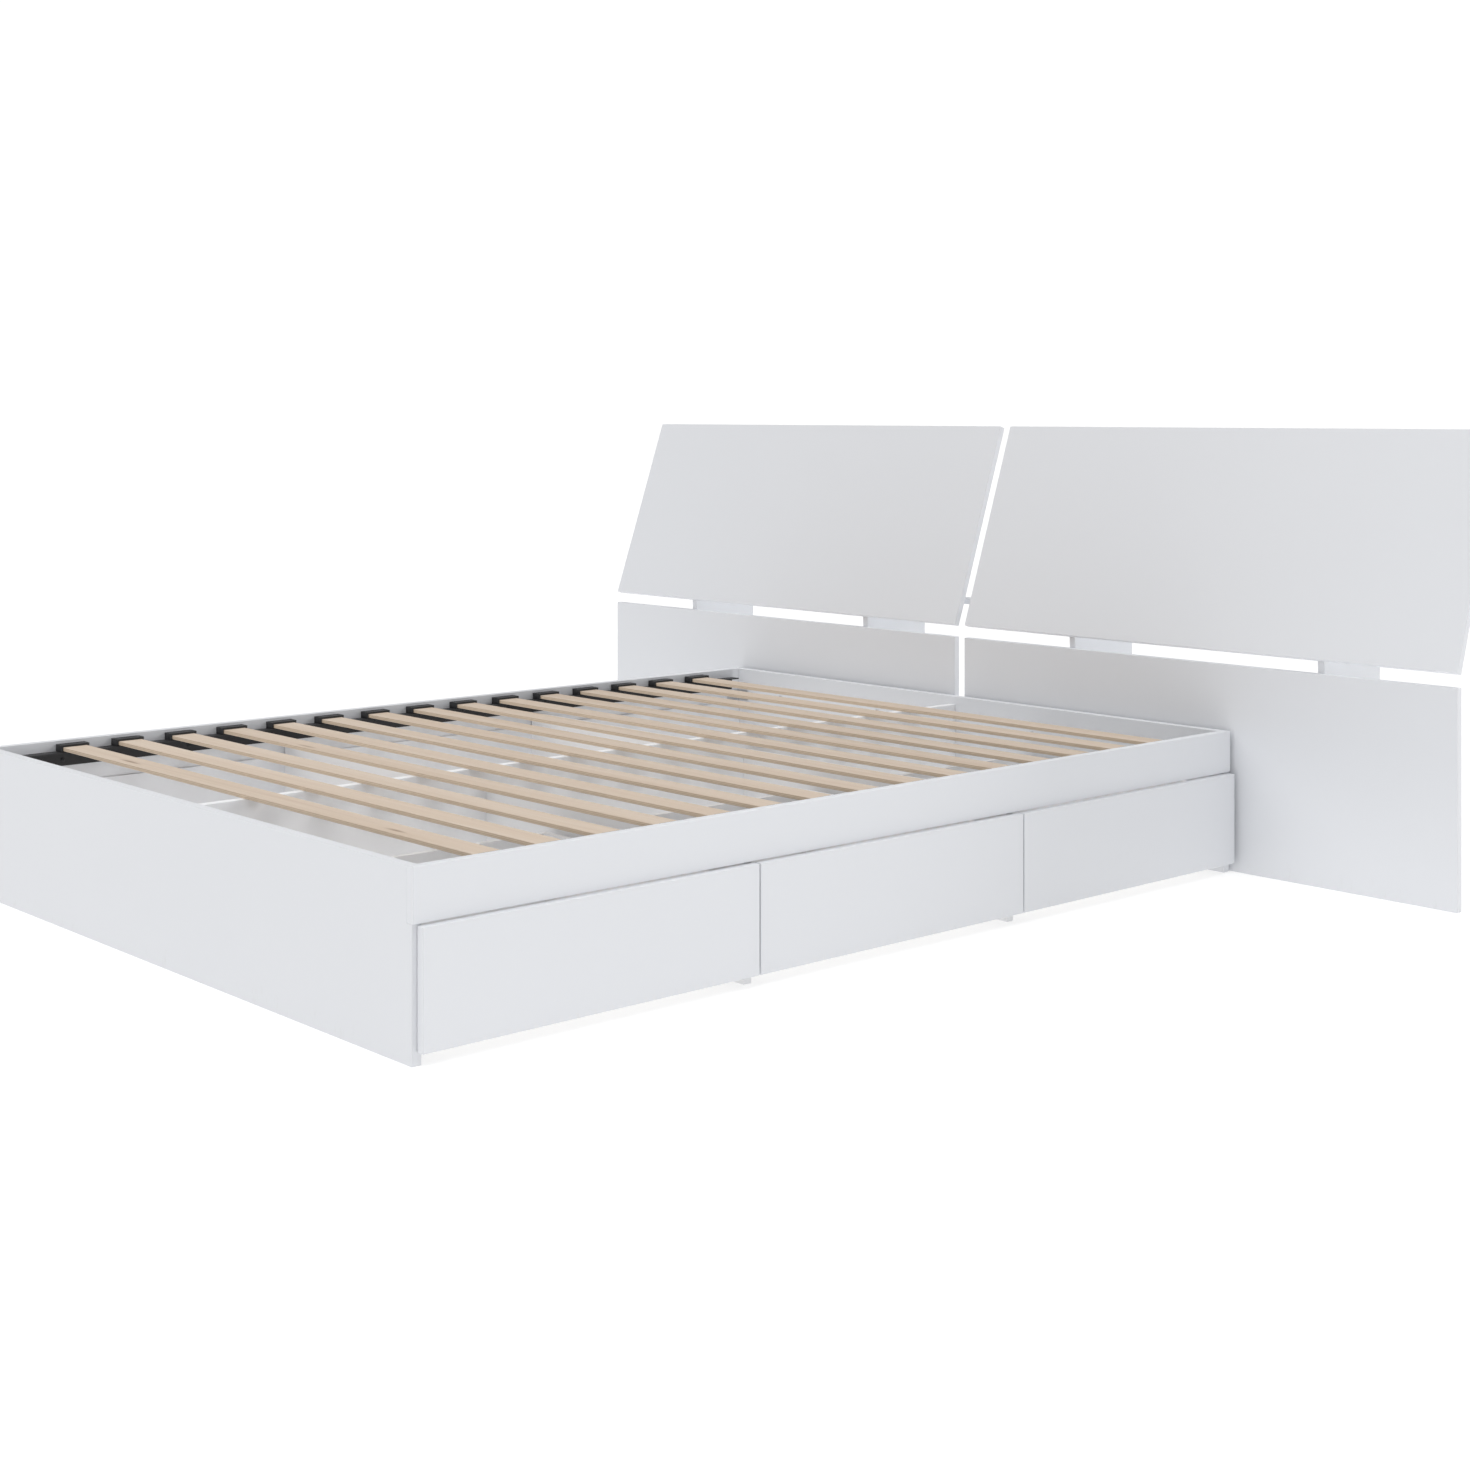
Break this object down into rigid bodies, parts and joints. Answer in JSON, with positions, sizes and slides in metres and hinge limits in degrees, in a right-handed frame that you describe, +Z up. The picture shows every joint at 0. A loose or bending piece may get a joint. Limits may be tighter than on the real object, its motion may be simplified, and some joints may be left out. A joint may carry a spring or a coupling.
{
  "type": "platform bed with storage drawers",
  "caption": "Low white platform bed with sprung wooden slats, handle-less storage drawers along one side and a wide headboard with a leaning upper half.",
  "frame": {"origin": "on the floor, at the middle of the whole bed's box", "axes": "+Z up; +Y from the foot to the headboard; +X across the bed, towards the side that the drawers open to"},
  "size_m": [2.62, 2.315, 0.9497],
  "materials": {
    "white_laminate": "white melamine laminate on particle board, satin",
    "drawer_board": "white melamine laminate, thin drawer boards",
    "drawer_hardboard": "white lacquered hardboard",
    "slat_beech": "pale layered hardwood, unlacquered",
    "black_plastic": "matt moulded",
    "black_steel": "matt powder coat",
    "runner_steel": "zinc plated, cold rolled",
    "zinc": "bright zinc plated"
  },
  "bodies": {
    "bed_frame": {"footboard": "white_laminate", "head_panel": "white_laminate", "side_rail_left": "white_laminate", "side_rail_right": "white_laminate", "side_panel_left": "white_laminate", "centre_panel": "white_laminate", "partition_foot": "white_laminate", "partition_head": "white_laminate", "cross_braces_left": "white_laminate", "slat_ledge_left": "black_steel", "slat_ledge_right": "black_steel", "slat_holders_left": "black_plastic", "slat_holders_right": "black_plastic", "slat_01": "slat_beech", "slat_02": "slat_beech", "slat_03": "slat_beech", "slat_04": "slat_beech", "slat_05": "slat_beech", "slat_06": "slat_beech", "slat_07": "slat_beech", "slat_08": "slat_beech", "slat_09": "slat_beech", "slat_10": "slat_beech", "slat_11": "slat_beech", "slat_12": "slat_beech", "slat_13": "slat_beech", "slat_14": "slat_beech", "slat_15": "slat_beech", "headboard_lower_left": "white_laminate", "headboard_lower_right": "white_laminate", "headboard_upper_left": "white_laminate", "headboard_upper_right": "white_laminate", "headboard_gusset_1": "white_laminate", "headboard_gusset_2": "white_laminate", "headboard_gusset_3": "white_laminate", "headboard_gusset_4": "white_laminate", "headboard_tie": "white_laminate", "cam_locks": "zinc", "headboard_bolts": "zinc", "corner_brackets": "zinc", "frame_screws": "zinc", "runner_tracks": "runner_steel"},
    "drawer_foot": {"drawer_foot_front": "white_laminate", "drawer_foot_side_foot": "drawer_board", "drawer_foot_side_head": "drawer_board", "drawer_foot_back": "drawer_board", "drawer_foot_bottom": "drawer_hardboard", "drawer_foot_sliders": "runner_steel"},
    "drawer_middle": {"drawer_middle_front": "white_laminate", "drawer_middle_side_foot": "drawer_board", "drawer_middle_side_head": "drawer_board", "drawer_middle_back": "drawer_board", "drawer_middle_bottom": "drawer_hardboard", "drawer_middle_sliders": "runner_steel"},
    "drawer_head": {"drawer_head_front": "white_laminate", "drawer_head_side_foot": "drawer_board", "drawer_head_side_head": "drawer_board", "drawer_head_back": "drawer_board", "drawer_head_bottom": "drawer_hardboard", "drawer_head_sliders": "runner_steel"}
  },
  "joints": [
    {"name": "drawer_foot_slide", "type": "slide", "parent": "bed_frame", "child": "drawer_foot", "axis": [1, 0, 0], "range_m": [0, 0.375]},
    {"name": "drawer_middle_slide", "type": "slide", "parent": "bed_frame", "child": "drawer_middle", "axis": [1, 0, 0], "range_m": [0, 0.375]},
    {"name": "drawer_head_slide", "type": "slide", "parent": "bed_frame", "child": "drawer_head", "axis": [1, 0, 0], "range_m": [0, 0.375]}
  ]
}
